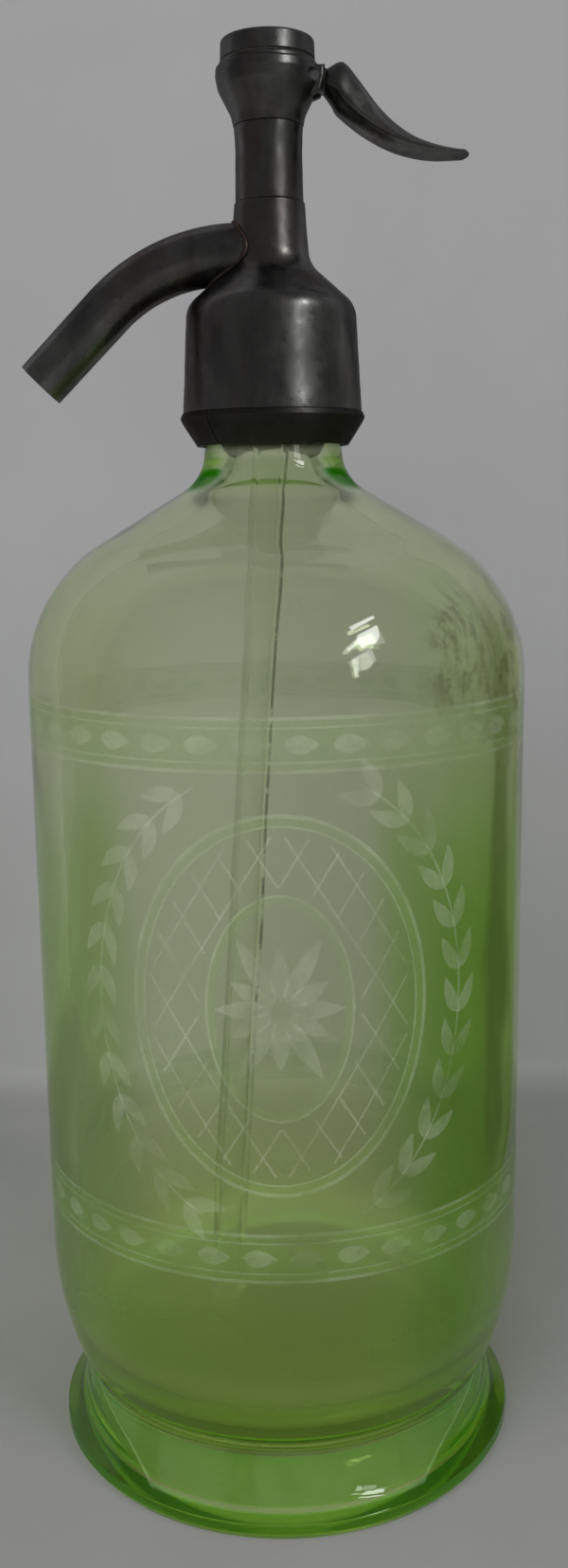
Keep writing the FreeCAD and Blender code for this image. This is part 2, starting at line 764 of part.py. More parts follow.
def build_plunger():
    node(turned("plunger_rod", [
        ("0", "rod_bottom"),
        ("rod_radius", "rod_bottom"),
        ("rod_radius", "piston_bottom"),
        ("piston_radius", "piston_bottom"),
        ("piston_radius", "piston_top"),
        ("rod_radius", "piston_top"),
        ("rod_radius", "rod_top"),
        ("0", "rod_top"),
    ]))
    node(turned("valve_holder", [
        ("0", "rubber_top"),
        ("valve_rubber_radius", "rubber_top"),
        ("valve_rubber_radius", "holder_bottom"),
        ("valve_holder_radius", "holder_bottom", "valve_round"),
        ("valve_holder_radius", "holder_top - valve_holder_chamfer"),
        ("valve_holder_radius - valve_holder_chamfer", "holder_top"),
        ("rod_radius", "holder_top"),
        ("rod_radius", "rod_bottom"),
        ("0", "rod_bottom"),
    ]))
    node(turned("valve_rubber", [
        ("0", "rubber_bottom"),
        ("valve_rubber_radius", "rubber_bottom", "valve_round"),
        ("valve_rubber_radius", "rubber_top"),
        ("0", "rubber_top"),
    ]))
    node(turned("piston_packing", [
        ("rod_radius", "packing_bottom"),
        ("packing_radius", "packing_bottom", "packing_round"),
        ("packing_radius", "piston_bottom"),
        ("rod_radius", "piston_bottom"),
    ]))
    nut_bottom = "packing_bottom - packing_nut_height"
    node(ring("packing_nut", "rod_radius", "packing_nut_radius", nut_bottom, "packing_bottom"))
    block = turned("plunger_yoke_block", [
        ("0", "rod_top"),
        ("rod_radius", "rod_top"),
        ("rod_radius", "yoke_bottom"),
        ("yoke_radius", "yoke_bottom", "yoke_foot_round"),
        ("yoke_radius", "yoke_top", "yoke_top_round"),
        ("0", "yoke_top"),
    ])
    slot = doc.addObject("Part::Box", "yoke_slot")
    bind(slot, Length="yoke_radius * 4", Width="yoke_slot_half_width * 2", Height="yoke_slot_half_height * 2",
         Placement__Base__x="-yoke_radius * 2", Placement__Base__y="-yoke_slot_half_width",
         Placement__Base__z="nose_height - yoke_slot_half_height")
    node(cut("plunger_yoke", block, slot))
    build_spring()


def build_spring():
    helix = doc.addObject("Part::Helix", "spring_path")
    start = "piston_top + spring_wire_radius + spring_end_gap"
    height = "(bush_bottom - piston_top - 2 * spring_wire_radius - 2 * spring_end_gap)"
    bind(helix, Radius="spring_radius", Height=height, Pitch=height + " / spring_turns",
         Placement__Base__z=start)
    section = doc.addObject("Part::Circle", "spring_section")
    section.Placement = FreeCAD.Placement(vector(0), FreeCAD.Rotation(vector(1, 0, 0), 90))
    bind(section, Radius="spring_wire_radius", Placement__Base__x="spring_radius", Placement__Base__z=start)
    spring = doc.addObject("Part::Sweep", "plunger_spring")
    spring.Sections = [section]
    spring.Spine = (helix, [])
    spring.Solid = True
    spring.Frenet = True
    node(spring)


# ---------------------------------------------------------------- lever


def lever_section(share):
    """One eight-sided section of the thumb piece, at a share of its length from root to tip."""
    length = value("lever_length")
    fall = value("lever_fall")
    curl = value("lever_curl")
    left = 1 - share
    x = value("lever_root_x") + length * share
    z = value("lever_tip_height") + fall * left ** curl
    slope = math.atan2(fall * curl * left ** (curl - 1), length)
    lean = slope * min(1, value("lever_root_lean") + share / value("lever_root_share"))
    up = vector(math.sin(lean), 0, math.cos(lean))
    thin = left ** value("lever_taper")
    half_depth = (value("lever_root_depth") * thin + value("lever_tip_depth") * (1 - thin)) / 2
    widths = (value("lever_root_width"), value("lever_blade_width"), value("lever_tip_width"))
    widest = value("lever_full_width_share")
    swell = math.sin(math.pi * min(share / widest, 1) / 2)
    end = max(0.0, (share - widest) / (1 - widest))
    half_width = (widths[0] + (widths[1] - widths[0]) * swell - (widths[1] - widths[2]) * end ** 2) / 2
    return section_wire(vector(x, 0, z), up, half_depth, half_width)


def section_wire(centre, up, half_depth, half_width):
    """Crest, rounded flanks with an edge a little below the middle, and a narrow keel."""
    crest = half_width * value("lever_crest_share")
    flank = value("lever_flank_share")
    ring_points = [
        (crest, half_depth),
        (half_width, -half_depth * value("lever_edge_drop")),
        (half_width * flank, -half_depth * value("lever_flank_drop")),
        (crest * flank, -half_depth),
    ]
    ring_points += [(-side, rise) for side, rise in reversed(ring_points)]
    corners = [centre + up * rise + vector(0, side, 0) for side, rise in ring_points]
    return Part.makePolygon(corners + corners[:1])


def build_lever():
    root_x = value("lever_root_x")
    pivot = (value("pivot_reach"), value("pivot_height"))
    nose = (0.0, value("nose_height"))
    half_width = value("tongue_half_width")
    root_z = value("lever_tip_height + lever_fall")
    tilt = math.radians(value("lever_stub_lean"))
    stub_centre = vector(root_x - value("lever_stub_reach"), 0, root_z + value("lever_stub_rise"))
    stub = section_wire(stub_centre, vector(math.sin(tilt), 0, math.cos(tilt)),
                        value("lever_stub_half_depth"), value("lever_stub_half_width"))
    blades = [lever_section(share) for share in (0.0, 0.14, 0.3, 0.48, 0.66, 0.84, 0.96)]
    last = lever_section(1.0)
    last.scale(value("lever_end_share"), last.BoundBox.Center)
    blade = Part.makeLoft([stub] + blades + [last], True, False)
    # Tongue through the housing's slot, eye on the pin, and tapered arm to the nose in the yoke.
    reach = math.hypot(pivot[0] - nose[0], pivot[1] - nose[1])
    along = ((nose[0] - pivot[0]) / reach, (nose[1] - pivot[1]) / reach)
    across = (-along[1], along[0])
    arm_half = value("arm_half_depth")
    end_half = value("arm_end_half_depth")
    arm = side_plate([
        (pivot[0] + across[0] * arm_half, pivot[1] + across[1] * arm_half),
        (nose[0] + across[0] * end_half, nose[1] + across[1] * end_half),
        (nose[0] - across[0] * end_half, nose[1] - across[1] * end_half),
        (pivot[0] - across[0] * arm_half, pivot[1] - across[1] * arm_half),
    ], half_width)
    neck_half = value("neck_half_depth")
    neck = side_plate([
        (pivot[0], pivot[1] + neck_half),
        (root_x, root_z + neck_half),
        (root_x, root_z - neck_half),
        (pivot[0], pivot[1] - neck_half),
    ], half_width)
    eye_start = vector(pivot[0], -half_width, pivot[1])
    eye = Part.makeCylinder(value("eye_radius"), 2 * half_width, eye_start, vector(0, 1))
    ball_start = vector(nose[0], -half_width, nose[1])
    ball = Part.makeCylinder(value("nose_radius"), 2 * half_width, ball_start, vector(0, 1))
    hole_radius = value("pin_radius + pin_running_clearance")
    hole_start = vector(pivot[0], -2 * half_width, pivot[1])
    hole = Part.makeCylinder(hole_radius, 4 * half_width, hole_start, vector(0, 1))
    tongue = eye.fuse([arm, ball, neck]).cut(hole)
    node(feature("lever", blade.fuse(tongue).removeSplitter()))


# ---------------------------------------------------------------- build, check and write

for build in (build_bottle, build_collar, build_mouth, build_tube, build_bell, build_spout, build_column,
              build_lever_housing, build_cap, build_plunger, build_lever):
    build()
doc.recompute()

for item in doc.Objects:
    if {"Invalid", "Error"} & set(item.State):
        raise RuntimeError(f"{item.Name} failed: {item.State}")
for name, item in NODES.items():
    if item.Shape.isNull() or not item.Shape.isValid() or len(item.Shape.Solids) != 1:
        raise RuntimeError(f"{name} has no single valid solid")

os.makedirs("parts", exist_ok=True)
for name, item in NODES.items():
    item.Shape.exportStep(f"parts/{name}.step")
    print(f"{name}: {item.Shape.Volume / 1000:.3f} cm3")
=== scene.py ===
import json
import math

import bpy
from mathutils import Matrix, Vector, noise


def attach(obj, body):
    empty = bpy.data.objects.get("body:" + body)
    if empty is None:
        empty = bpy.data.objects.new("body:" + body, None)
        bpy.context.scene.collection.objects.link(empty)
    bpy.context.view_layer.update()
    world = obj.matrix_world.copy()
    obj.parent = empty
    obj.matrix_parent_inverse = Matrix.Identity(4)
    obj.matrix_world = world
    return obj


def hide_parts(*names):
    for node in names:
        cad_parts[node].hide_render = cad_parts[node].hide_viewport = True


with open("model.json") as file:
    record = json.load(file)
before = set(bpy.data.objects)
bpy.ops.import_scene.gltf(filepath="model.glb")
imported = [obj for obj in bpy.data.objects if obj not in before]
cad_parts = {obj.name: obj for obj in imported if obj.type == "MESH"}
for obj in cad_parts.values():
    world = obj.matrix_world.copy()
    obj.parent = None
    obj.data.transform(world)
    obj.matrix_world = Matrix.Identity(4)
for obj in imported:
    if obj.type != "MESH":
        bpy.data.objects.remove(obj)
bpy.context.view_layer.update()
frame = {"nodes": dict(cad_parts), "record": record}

scene = bpy.context.scene
scene.view_settings.view_transform = "Standard"

MM = 0.001
CLEAR = (1.0, 1.0, 1.0)

# The dip tube leans to -X about a point in the neck. Heights in mm.
TUBE_LEAN = math.radians(4.1)
TUBE_TURN_HEIGHT = 221.97
TUBE_FOOT_HEIGHT = 28.0


# ---------------------------------------------------------------- node materials


class Paint:
    """A node material under construction. Sockets are linked by passing them as values."""

    def __init__(self, name):
        self.material = bpy.data.materials.new(name)
        self.material.use_nodes = True
        self.tree = self.material.node_tree
        self.tree.nodes.clear()
        self.output = self.tree.nodes.new("ShaderNodeOutputMaterial")
        self.place = self.add("TexCoord").outputs["Object"]

    def add(self, kind, inputs=None, **settings):
        made = self.tree.nodes.new("ShaderNode" + kind)
        for key, setting in settings.items():
            setattr(made, key, setting)
        for key, given in (inputs or {}).items():
            self.set(made.inputs[key], given)
        return made

    def set(self, socket, given):
        if isinstance(given, bpy.types.NodeSocket):
            self.tree.links.new(given, socket)
        elif socket.type == "RGBA" and len(given) == 3:
            socket.default_value = (*given, 1.0)
        else:
            socket.default_value = given

    def stretched(self, scale):
        return self.add("Mapping", {"Vector": self.place, "Scale": scale}).outputs["Vector"]

    def noise(self, scale, detail=4.0, rough=0.55, distort=0.0, place=None):
        made = self.add("TexNoise", {"Vector": place or self.place, "Scale": scale, "Detail": detail,
                                     "Roughness": rough, "Distortion": distort})
        return made.outputs["Fac"]

    def span(self, fac, low, high, to_low=0.0, to_high=1.0):
        """A smooth step from to_low at low to to_high at high."""
        made = self.add("MapRange", {"Value": fac, "From Min": low, "From Max": high, "To Min": to_low,
                                     "To Max": to_high}, interpolation_type="SMOOTHSTEP")
        return made.outputs["Result"]

    def ramp(self, fac, stops):
        made = self.add("ValToRGB", {"Fac": fac})
        elements = made.color_ramp.elements
        while len(elements) < len(stops):
            elements.new(0.5)
        for element, (position, colour) in zip(elements, stops):
            element.position = position
            element.color = (*colour, 1.0)
        return made.outputs["Color"]

    def mix(self, fac, first, second):
        """First at 0, second at 1. The numbers are the Mix node's colour sockets."""
        made = self.add("Mix", {0: fac}, data_type="RGBA")
        self.set(made.inputs[6], first)
        self.set(made.inputs[7], second)
        return made.outputs[2]

    def fall(self, fac, low, high):
        """1 below low, 0 above high."""
        return self.span(fac, low, high, 1.0, 0.0)

    def math(self, operation, first, second):
        made = self.add("Math", {0: first, 1: second}, operation=operation)
        return made.outputs["Value"]

    def times(self, *factors):
        product = factors[0]
        for factor in factors[1:]:
            product = self.math("MULTIPLY", product, factor)
        return product

    def plus(self, first, second):
        return self.math("ADD", first, second)

    def minus(self, first, second):
        return self.math("SUBTRACT", first, second)

    def axes(self):
        split = self.add("SeparateXYZ", {"Vector": self.place})
        return split.outputs["X"], split.outputs["Y"], split.outputs["Z"]

    def bump(self, height, strength, distance):
        made = self.add("Bump", {"Height": height, "Strength": strength, "Distance": distance})
        return made.outputs["Normal"]

    def surface(self, socket):
        self.tree.links.new(socket, self.output.inputs["Surface"])
        return self.material


def metal(name, deep, pale, tint, rough, tint_share=0.5):
    """Aged metal: broad upright patches from deep to pale, tinted stains, dark pits, paler worn edges."""
    paint = Paint(name)
    broad = paint.noise(80.0, 5.0, 0.55, 0.3, paint.stretched((1.0, 1.0, 0.45)))
    stain = paint.noise(60.0, 4.0, 0.6, 0.6, paint.stretched((1.0, 1.0, 0.22)))
    fine = paint.noise(520.0, 4.0, 0.6)
    grain = paint.noise(2600.0, 2.0, 0.5)
    colour = paint.ramp(broad, ((0.34, deep), (0.66, pale)))
    colour = paint.mix(paint.span(stain, 0.5, 0.66, 0.0, tint_share), colour, tint)
    cells = paint.add("TexVoronoi", {"Vector": paint.place, "Scale": 620.0}).outputs["Distance"]
    pits = paint.times(paint.fall(cells, 0.0, 0.3), paint.span(broad, 0.46, 0.64))
    colour = paint.mix(paint.times(pits, 0.25), colour, (0.01, 0.01, 0.01))
    wear_and_sheen = paint.add("NewGeometry").outputs["Pointiness"]
    colour = paint.mix(paint.span(wear_and_sheen, 0.53, 0.62, 0.0, 0.5), colour, [1.3 * level for level in pale])
    roughness = paint.plus(paint.span(broad, 0.3, 0.7, rough + 0.06, rough - 0.05),
                           paint.span(fine, 0.3, 0.7, -0.05, 0.07))
    height = paint.plus(paint.times(fine, 0.5), paint.times(grain, 0.1))
    height = paint.minus(height, paint.times(pits, 0.35))
    shader = paint.add("BsdfPrincipled", {
        "Base Color": colour, "Roughness": roughness, "Normal": paint.bump(height, 0.085, 0.1 * MM),
        "Metallic": 1.0, "Specular Tint": (0.45, 0.45, 0.45, 1.0)})
    return paint.surface(shader.outputs["BSDF"])


def matt(name, deep, pale, rough):
    """Rubber, fibre and the like: two close shades and a fine grain."""
    paint = Paint(name)
    broad = paint.noise(300.0, 5.0, 0.6)
    colour = paint.ramp(broad, ((0.35, deep), (0.7, pale)))
    shader = paint.add("BsdfPrincipled", {
        "Base Color": colour, "Roughness": paint.span(broad, 0.3, 0.7, rough - 0.08, rough + 0.08),
        "Normal": paint.bump(paint.noise(1500.0), 0.5, 0.1 * MM)})
    return paint.surface(shader.outputs["BSDF"])


def clear_glass(paint, tint, rough, density, colour, clear_shadow, film=None, index=1.5):
    """Glass coloured by the depth that light crosses.

    Film is (share of the surface under a dull layer, colour of that layer); in the bottle that layer is
    scale and painted light and shade. Clear_shadow is the share of light that the shadow lets through."""
    shader = paint.add("BsdfPrincipled", {
        "Base Color": tint, "IOR": index, "Transmission Weight": 1.0, "Roughness": rough,
        "Specular IOR Level": 0.42})
    surface = shader.outputs["BSDF"]
    if film is not None:
        # The dull layer: scale, and in the bottle also painted light and painted shade.
        scale = paint.add("BsdfDiffuse", {"Color": film[1]})
        filmed = paint.add("MixShader", {0: film[0], 1: surface, 2: scale.outputs["BSDF"]})
        surface = filmed.outputs["Shader"]
    see_through = paint.add("BsdfTransparent", {"Color": (0.93, 0.95, 0.91)})
    shadow = paint.add("LightPath").outputs["Is Shadow Ray"]
    mixed = paint.add("MixShader", {0: paint.times(shadow, clear_shadow), 1: surface,
                                    2: see_through.outputs["BSDF"]})
    volume = paint.add("VolumeAbsorption", {"Color": colour, "Density": density})
    paint.tree.links.new(volume.outputs["Volume"], paint.output.inputs["Volume"])
    return paint.surface(mixed.outputs["Shader"])


def bottle_glass(name):
    """Green glass with faint smears, a film of scale inside that is thicker low down, a deep base, and
    painted light and shade.

    Film is put together zone by zone. In front are the underside's ring in a painted deep green, the neck (a
    painted light rim, a painted light olive band under the collar, painted deep-green shade at its corners
    and sides, and a faint painted green ring), the heel with its two crease lines of painted shade and
    painted light, and a painted pale sheen over the foot with a painted bright line at its lower edge.
    Inside are painted light at the back of the floor, painted brown shade on the shoulder's right and a
    painted pale sheen on its left. The sides, the foot's most, are tinted a painted deeper green. Places are
    in metres."""
    paint = Paint(name)
    smear = paint.noise(55.0, 6.0, 0.6, 1.2, paint.stretched((1.0, 1.0, 0.35)))
    inside = paint.add("Attribute", attribute_name="inside").outputs["Fac"]
    underside = paint.add("Attribute", attribute_name="underside").outputs["Fac"]
    across, deep, height = paint.axes()
    aside = paint.math("ABSOLUTE", across, 0.0)
    wavy = paint.plus(height, paint.times(paint.noise(22.0, 2.0, 0.4), 0.05))
    low = paint.fall(wavy, 0.03, 0.115)
    rough = paint.span(smear, 0.52, 0.75, 0.0, 0.05)
    rough = paint.plus(rough, paint.times(inside, paint.span(low, 0.0, 1.0, 0.04, 0.38)))

    tint = paint.ramp(paint.times(height, 5.0), (
        (0.03, (0.82, 0.95, 0.42)), (0.1, (0.84, 0.95, 0.38)), (0.22, (0.9, 0.96, 0.66)),
        (0.34, (0.965, 0.98, 0.92)), (0.5, (0.975, 0.985, 0.955)), (1.0, (0.985, 0.985, 0.975))))
    # Painted shade: the body's sides, the right one reaching further in, are tinted a darker green, less so
    # above the shoulder.
    lean = paint.math("MAXIMUM", aside, paint.plus(across, 0.015))
    flank_shade = paint.times(paint.span(lean, 0.036, 0.049), paint.span(wavy, 0.145, 0.19, 0.88, 0.15))
    tint = paint.mix(flank_shade, tint, (0.55, 0.82, 0.23))
    # Painted shade: the foot's sides are tinted a deep green.
    foot = paint.times(paint.span(aside, 0.028, 0.042), paint.fall(height, 0.012, 0.017))
    tint = paint.mix(foot, tint, (0.6, 0.92, 0.12))
    brim = paint.times(paint.fall(aside, 0.024, 0.036), paint.fall(height, 0.003, 0.005))
    tint = paint.mix(brim, tint, (0.97, 0.9, 0.47))

    share = paint.times(inside, paint.span(low, 0.0, 1.0, 0.055, 0.15))
    colour = paint.ramp(low, ((0.0, (0.6, 0.61, 0.56)), (1.0, (0.45, 0.55, 0.2))))
    outside = paint.minus(1.0, paint.plus(inside, underside))
    front = paint.times(outside, paint.fall(deep, -0.001, 0.002))

    def zone(mask, amount, zone_colour):
        nonlocal share, colour
        share = paint.plus(share, paint.times(mask, amount))
        colour = paint.mix(mask, colour, zone_colour)

    def spot(x, z, half_length, half_breadth, slope):
        """A soft oval at (|x|, z) in mm that falls away to the side with the slope."""
        along = paint.times(paint.minus(aside, x * MM), 1 / MM)
        rise = paint.times(paint.minus(height, z * MM), 1 / MM)
        rise = paint.math("DIVIDE", paint.plus(rise, paint.times(along, slope)), half_breadth)
        along = paint.math("DIVIDE", along, half_length)
        away = paint.plus(paint.times(along, along), paint.times(rise, rise))
        return paint.times(paint.fall(away, 0.15, 1.8), front)

    # Painted shade: a saturated green dull film on the underside's ring, seen through the foot's sides as
    # their deep green.
    zone(underside, 0.3, (0.16, 0.5, 0.02))

    # Painted light: a lighter green film along the front of the neck's outline, where the glass shows a dark
    # edge.
    rim = paint.times(paint.span(aside, 0.0088, 0.0125), paint.span(height, 0.2105, 0.2125), front)
    zone(rim, 0.45, (0.1, 0.19, 0.04))
    # Painted light: a plain olive band in front just under the collar, over the dark that the glass shows of
    # the collar's inside.
    under_collar = paint.times(paint.span(height, 0.2143, 0.2165), paint.minus(front, rim))
    zone(under_collar, 0.45, (0.17, 0.185, 0.12))
    # Painted shade: deep green ovals at the neck's sides in front, darkest at its corners, and a faint green
    # ring all round it.
    zone(spot(11.9, 214.2, 1.9, 0.7, 0.1), 0.3, (0.04, 0.15, 0.01))
    corner = paint.times(spot(13.8, 210.7, 4.4, 2.0, 0.42), paint.fall(height, 0.2122, 0.2134))
    ring = paint.times(paint.span(height, 0.206, 0.2095), paint.fall(height, 0.2135, 0.217))
    zone(paint.times(ring, paint.minus(outside, corner)), 0.14, (0.15, 0.27, 0.05))
    zone(corner, 0.8, (0.01, 0.1, 0.0))

    # Painted light: a pale film inside at the back of the floor, over the dark that the ground under the
    # bottle shows through the base.
    back_floor = paint.times(paint.span(deep, -0.022, 0.036), paint.fall(height, 0.026, 0.036))
    zone(paint.times(back_floor, inside), 0.26, (0.6, 0.64, 0.4))
    shoulder = paint.times(inside, paint.span(height, 0.148, 0.166), paint.fall(height, 0.19, 0.202))
    patchy = paint.span(paint.noise(150.0, 5.0, 0.7), 0.4, 0.6)
    # Painted shade: brown patches inside the right of the shoulder.
    brown = paint.times(paint.span(across, 0.033, 0.041), patchy)
    zone(paint.times(brown, shoulder), 0.48, (0.12, 0.095, 0.05))
    # Painted sheen: a faint pale warm film inside the left of the shoulder.
    left_sheen = paint.times(paint.fall(across, -0.044, -0.015), shoulder)
    zone(left_sheen, 0.07, (0.62, 0.56, 0.43))

    heel = paint.times(paint.span(height, 0.018, 0.0205), paint.fall(height, 0.026, 0.038))
    zone(paint.times(heel, outside), 0.14, (0.3, 0.46, 0.03))
    # Painted shade and light at the crease: a dark green line in it and a bright lime line above it.
    for low_edge, high_edge, amount, crease_colour in (
            (0.0178, 0.0188, 0.35, (0.03, 0.1, 0.002)), (0.0191, 0.0209, 0.32, (0.2, 0.58, 0.01))):
        crease = paint.times(paint.span(height, low_edge - 0.0004, low_edge + 0.0002),
                             paint.fall(height, high_edge - 0.0002, high_edge + 0.0004))
        zone(paint.times(crease, outside), amount, crease_colour)

    # The foot's painted pale sheen and the painted bright line under it start at an edge that is level in
    # front and climbs to the sides.
    past = paint.math("MAXIMUM", paint.minus(aside, 0.0286), 0.0)
    edge = paint.minus(height, paint.times(past, 0.79))
    wear_and_sheen = paint.times(paint.span(edge, 0.005, 0.0066), paint.fall(height, 0.0155, 0.0175),
                       paint.span(smear, 0.35, 0.6, 0.45, 1.0))
    zone(paint.times(wear_and_sheen, outside), 0.06, (0.58, 0.7, 0.4))
    # Painted light: a bright line along the sheen's lower edge.
    line = paint.times(paint.span(edge, 0.0048, 0.0053), paint.fall(edge, 0.0055, 0.0062))
    zone(paint.times(line, outside), 0.12, (0.62, 0.86, 0.42))
    return clear_glass(paint, tint, rough, 60.0, (0.75, 0.885, 0.4), 0.78, (share, colour))


def tube_glass_paint(name):
    """The dip tube's glass, with painted shade: a dark run down its right edge in front that breaks up lower
    down.
    """
    paint = Paint(name)
    across, deep, height = paint.axes()
    below = paint.minus(TUBE_TURN_HEIGHT * MM, height)
    side = paint.plus(across, paint.times(below, math.tan(TUBE_LEAN)))
    dashes = paint.noise(160.0, 3.0, 0.7, 0.0, paint.stretched((0.2, 0.2, 1.0)))
    breaks = paint.span(paint.plus(dashes, paint.times(height, 2.2)), 0.72, 0.84)
    # Painted shade along the tube's right edge, in dashes.
    run = paint.times(paint.span(side, 0.0028, 0.0032), paint.fall(deep, -0.0006, 0.0), breaks)
    tint = paint.mix(paint.times(run, 0.9), (0.97, 0.98, 0.95), (0.04, 0.035, 0.03))
    rough = paint.span(dashes, 0.3, 0.7, 0.02, 0.09)
    return clear_glass(paint, tint, rough, 30.0, (0.8, 0.9, 0.6), 0.85, index=1.13)


def etching(name, deep, pale, least, most):
    """The ground surface of etched glass, worn thin in places. Least and most are how much it covers."""
    paint = Paint(name)
    wear_and_sheen = paint.noise(60.0, 6.0, 0.6)
    grain = paint.noise(1500.0, 3.0, 0.6)
    shader = paint.add("BsdfPrincipled", {
        "Base Color": paint.ramp(grain, ((0.3, deep), (0.7, pale))), "Roughness": 0.85})
    bare = paint.add("BsdfTransparent", {"Color": CLEAR})
    cover = paint.times(paint.span(wear_and_sheen, 0.36, 0.64, least, most), paint.span(grain, 0.2, 0.6, 0.7, 1.0))
    mixed = paint.add("MixShader", {0: cover, 1: bare.outputs["BSDF"], 2: shader.outputs["BSDF"]})
    return paint.surface(mixed.outputs["Shader"])


pewter = metal("pewter_worn", (0.078, 0.079, 0.077), (0.215, 0.212, 0.207), (0.14, 0.095, 0.09), 0.3)
dark_metal = metal("collar_aged", (0.035, 0.035, 0.034), (0.075, 0.072, 0.068), (0.07, 0.05, 0.04), 0.42)
tinned = metal("tin_dull", (0.32, 0.31, 0.29), (0.5, 0.49, 0.46), (0.3, 0.26, 0.2), 0.38)
brass = metal("brass_dull", (0.36, 0.25, 0.1), (0.6, 0.45, 0.2), (0.2, 0.17, 0.12), 0.36)
steel = metal("steel_satin", (0.14, 0.14, 0.14), (0.26, 0.26, 0.26), (0.2, 0.14, 0.1), 0.32, 0.3)
solder = metal("solder_copper", (0.09, 0.075, 0.07), (0.16, 0.12, 0.105), (0.2, 0.11, 0.09), 0.42, 0.8)
rubber = matt("rubber_matt", (0.025, 0.022, 0.02), (0.05, 0.045, 0.04), 0.8)
fibre = matt("fibre_dark", (0.014, 0.012, 0.01), (0.028, 0.024, 0.02), 0.85)
green_glass = bottle_glass("glass_green")
tube_glass = tube_glass_paint("glass_tube")
etched = etching("glass_etching", (0.56, 0.62, 0.46), (0.74, 0.78, 0.64), 0.03, 0.15)
etched_ground = etching("glass_ground", (0.16, 0.3, 0.07), (0.24, 0.4, 0.12), 0.08, 0.2)

FINISH = {
    "pewter": pewter, "collar_metal": dark_metal, "tinned_metal": tinned, "brass": brass, "steel": steel,
    "rubber": rubber, "fibre": fibre, "green_glass": green_glass, "clear_glass": tube_glass,
}
SLOT_OF = {entry["node"]: entry["material_slot"] for entry in frame["record"]["subparts"]}

for name, node in frame["nodes"].items():
    node.data.materials.clear()
    node.data.materials.append(FINISH[SLOT_OF[name]])


# ---------------------------------------------------------------- mesh building


def rounded(corners, closed=False, step=1.5, small=0.15, turn_step=9.0):
    """(r, z) points in mm along corners (r, z, rounding), with arcs in them and long runs divided.

    A corner without a rounding gets the small one, or less where there is no room for it."""
    count = len(corners)
    runs = []
    for index, corner in enumerate(corners):
        here = Vector(corner[:2])
        if not closed and index in (0, count - 1):
            runs.append([here])
            continue
        before = Vector(corners[index - 1][:2]) - here
        after = Vector(corners[(index + 1) % count][:2]) - here
        radius = corner[2] if len(corner) > 2 else small
        half = before.angle(after) / 2
        reach = radius / math.tan(half)
        longest = 0.49 * min(before.length, after.length)
        if len(corner) < 3 and reach > longest:
            reach = longest
            radius = reach * math.tan(half)
        before.normalize()
        after.normalize()
        centre = here + (before + after).normalized() * radius / math.sin(half)
        first = here + before * reach - centre
        last = here + after * reach - centre
        turn = math.pi - 2 * half
        if first.x * last.y - first.y * last.x < 0:
            turn = -turn
        steps = max(2, math.ceil(abs(math.degrees(turn)) / turn_step))
        arc = []
        for number in range(steps + 1):
            angle = turn * number / steps
            cosine, sine = math.cos(angle), math.sin(angle)
            arc.append(centre + Vector((first.x * cosine - first.y * sine,
                                        first.x * sine + first.y * cosine)))
        runs.append(arc)
    points = []
    for index, run in enumerate(runs):
        points.extend(run)
        if index + 1 < count or closed:
            start, end = run[-1], runs[(index + 1) % count][0]
            parts = math.ceil((end - start).length / step)
            points.extend(start.lerp(end, number / parts) for number in range(1, parts))
    return [(max(point.x, 0.0), point.y) for point in points]


def circle(parts):
    """Angles round a full turn."""
    return [2 * math.pi * number / parts for number in range(parts)]


def mesh_object(name, vertices, faces, material, smooth=True):
    """An object of its own in the scene, with vertices in metres."""
    mesh = bpy.data.meshes.new(name)
    mesh.from_pydata([tuple(vertex) for vertex in vertices], [], faces)
    mesh.validate()
    if smooth:
        mesh.shade_smooth()
    mesh.materials.append(material)
    made = bpy.data.objects.new(name, mesh)
    scene.collection.objects.link(made)
    return made


def lathe(name, profile, material, closed=False, around=192, push=None):
    """Turns (r, z) points in mm about Z. push(x, y, z, r) gives a shift along the radius in mm."""
    vertices, rings = [], []
    for radius, height in profile:
        if radius < 1e-6:
            rings.append([len(vertices)] * around)
            vertices.append((0.0, 0.0, height * MM))
            continue
        rings.append(list(range(len(vertices), len(vertices) + around)))
        for angle in circle(around):
            x, y = math.cos(angle), math.sin(angle)
            here = radius + (push(x * radius, y * radius, height, radius) if push else 0.0)
            vertices.append((x * here * MM, y * here * MM, height * MM))
    faces = []
    pairs = list(zip(rings, rings[1:])) + ([(rings[-1], rings[0])] if closed else [])
    for low, high in pairs:
        for number in range(around):
            following = (number + 1) % around
            face = [low[number], low[following], high[following], high[number]]
            face = [corner for place, corner in enumerate(face) if corner != face[place - 1]]
            if len(face) > 2:
                faces.append(face)
    return mesh_object(name, vertices, faces, material)


def tube_mesh(rings, closed=False):
    """Vertices and faces that join rings of equal count, the ends capped unless closed into a loop."""
    around = len(rings[0])
    vertices = [point for ring in rings for point in ring]
    faces = []
    for index in range(len(rings) if closed else len(rings) - 1):
        low, high = index * around, (index + 1) % len(rings) * around
        for number in range(around):
            following = (number + 1) % around
            faces.append((low + number, low + following, high + following, high + number))
    if not closed:
        faces.append(tuple(reversed(range(around))))
        faces.append(tuple(range((len(rings) - 1) * around, len(rings) * around)))
    return vertices, faces


def dents(depth, size, seed):
    """A push for lathe: dents of up to about that depth and size in mm. The seed picks their places."""
    offset = Vector((seed * 7.3, seed * 3.1, seed * 5.7))

    def push(x, y, z, radius):
        place = Vector((x, y, z)) / size + offset
        broad = noise.noise(place)
        small = noise.noise(place * 2.7)
        return -depth * (max(broad, 0.0) * 1.3 + 0.35 * small)
    return push


# ---------------------------------------------------------------- bottle and dip tube

BOTTLE_AROUND = 320
INNER_WALL = 46.6
PUNT_TOP, PUNT_INNER, PUNT_OUTER = 12.5, 37.5, 42.5

